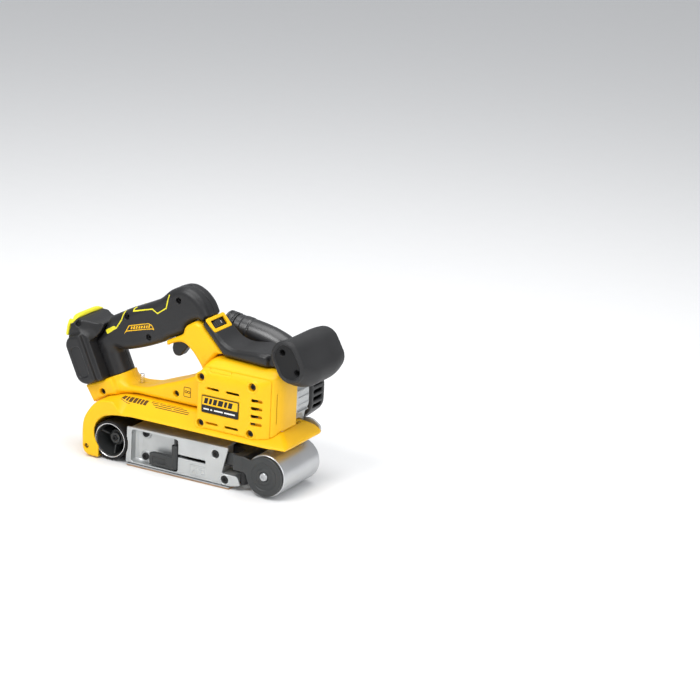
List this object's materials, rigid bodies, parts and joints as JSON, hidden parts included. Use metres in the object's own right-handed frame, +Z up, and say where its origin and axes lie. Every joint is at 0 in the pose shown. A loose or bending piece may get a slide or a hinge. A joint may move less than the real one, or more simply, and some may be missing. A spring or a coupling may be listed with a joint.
{
  "type": "handheld belt sander",
  "caption": "Cordless handheld belt sander: pistol-arched rear grip, soft front handle, side motor block, sole plate between a driven rear roller and a sprung front roller.",
  "frame": {"origin": "middle of the underside of the sole, on the line of the belt's middle", "axes": "+X forward from the drive roller to the front roller, +Y to the tool's left, +Z up from the surface being sanded"},
  "size_m": [0.3069, 0.109, 0.2033],
  "materials": {
    "yellow": "satin moulded plastic",
    "lime": "satin moulded plastic",
    "black": "fine-grained moulded plastic",
    "rubber": "soft matt",
    "casting": "fine cast",
    "steel": "ground",
    "dark_steel": "phosphated",
    "silver": "brushed round its axis",
    "cork": "cork backing"
  },
  "bodies": {
    "frame": {"belt_guard": "yellow", "motor_housing": "yellow", "motor_end_cover": "yellow", "body_right": "yellow", "body_left": "yellow", "dial_bezel": "yellow", "battery_rim": "lime", "drive_cover": "black", "rating_plate": "black", "grip_right": "black", "grip_left": "black", "top_cover": "black", "controller_module": "black", "switch_module": "black", "battery_dock": "black", "terminal_block": "black", "dust_duct": "black", "dust_collar": "black", "drive_belt": "rubber", "main_frame": "casting", "left_side_plate": "casting", "gear_case": "casting", "sole_plate": "steel", "lever_pin": "steel", "tension_spring": "steel", "drive_bearing": "steel", "stator": "steel", "rear_bearing": "steel", "front_bearing": "steel", "knob_pin": "steel", "frame_screw_1": "dark_steel", "frame_screw_2": "dark_steel", "frame_screw_3": "dark_steel", "frame_screw_4": "dark_steel", "end_cover_screw_1": "dark_steel", "end_cover_screw_2": "dark_steel", "end_cover_screw_3": "dark_steel", "end_cover_screw_4": "dark_steel", "grip_screw_1": "dark_steel", "grip_screw_2": "dark_steel", "grip_screw_3": "dark_steel", "hex_key": "dark_steel", "sole_pad": "cork"},
    "drive_roller": {"drive_hub": "silver", "drive_tyre": "rubber", "drive_shaft": "steel", "driven_pulley": "dark_steel"},
    "motor_rotor": {"rotor": "steel", "motor_pulley": "dark_steel", "dust_fan": "black"},
    "tension_carrier": {"slide_bar": "dark_steel"},
    "fork": {"idler_fork": "dark_steel", "idler_axle": "silver"},
    "front_roller": {"idler_roller": "silver"},
    "tension_lever": {"tension_lever": "dark_steel"},
    "tracking_knob": {"tracking_knob": "black"},
    "trigger": {"trigger": "black"},
    "lock_button": {"lock_button": "black"},
    "speed_dial": {"speed_dial": "black"},
    "front_handle": {"front_knob": "rubber"}
  },
  "joints": [
    {"name": "drive_spin", "type": "hinge", "parent": "frame", "child": "drive_roller", "pos_m": [-0.0877, 0, 0.0227], "axis": [0, 1, 0], "continuous": true},
    {"name": "motor_spin", "type": "hinge", "parent": "frame", "child": "motor_rotor", "pos_m": [0.0623, 0, 0.092], "axis": [0, 1, 0], "continuous": true},
    {"name": "tension_lever_pivot", "type": "hinge", "parent": "frame", "child": "tension_lever", "pos_m": [-0.0057, -0.034, 0.005], "axis": [0, 0, 1], "range_deg": [-0.5, 95.5]},
    {"name": "tension_slide", "type": "slide", "parent": "frame", "child": "tension_carrier", "axis": [1, 0, 0], "range_m": [-0.005, 0]},
    {"name": "tracking_knob_turn", "type": "hinge", "parent": "fork", "child": "tracking_knob", "pos_m": [0.0788, -0.031, 0.008], "axis": [0, 0, 1], "range_deg": [-181, 181]},
    {"name": "fork_tilt", "type": "hinge", "parent": "tension_carrier", "child": "fork", "pos_m": [0.0706, 0, 0.033], "axis": [0, 0, 1], "range_deg": [-1.2, 1.2]},
    {"name": "front_roller_spin", "type": "hinge", "parent": "fork", "child": "front_roller", "pos_m": [0.10764, 0, 0.0242], "axis": [0, 1, 0], "continuous": true},
    {"name": "trigger_pull", "type": "hinge", "parent": "frame", "child": "trigger", "pos_m": [-0.0077, 0, 0.147], "axis": [0, 1, 0], "range_deg": [0, 12], "stiffness_Nm_per_rad": 1.2},
    {"name": "lock_button_press", "type": "slide", "parent": "frame", "child": "lock_button", "axis": [0, -1, 0], "range_m": [0, 0.003], "stiffness_N_per_m": 500},
    {"name": "speed_dial_turn", "type": "hinge", "parent": "frame", "child": "speed_dial", "pos_m": [0.0153, 0, 0.1616], "axis": [0.6756, 0, -0.7373], "range_deg": [-125, 125]},
    {"name": "front_handle_tilt", "type": "hinge", "parent": "frame", "child": "front_handle", "pos_m": [0.1193, 0, 0.1485], "axis": [0, -1, 0], "range_deg": [0, 25]}
  ],
  "couplings": [
    {"joint": "motor_spin", "follows": "drive_spin", "ratio": 2.6667},
    {"joint": "tension_lever_pivot", "follows": "tension_slide", "rad_per_m": -331.61},
    {"joint": "tracking_knob_turn", "follows": "fork_tilt", "ratio": 150}
  ]
}
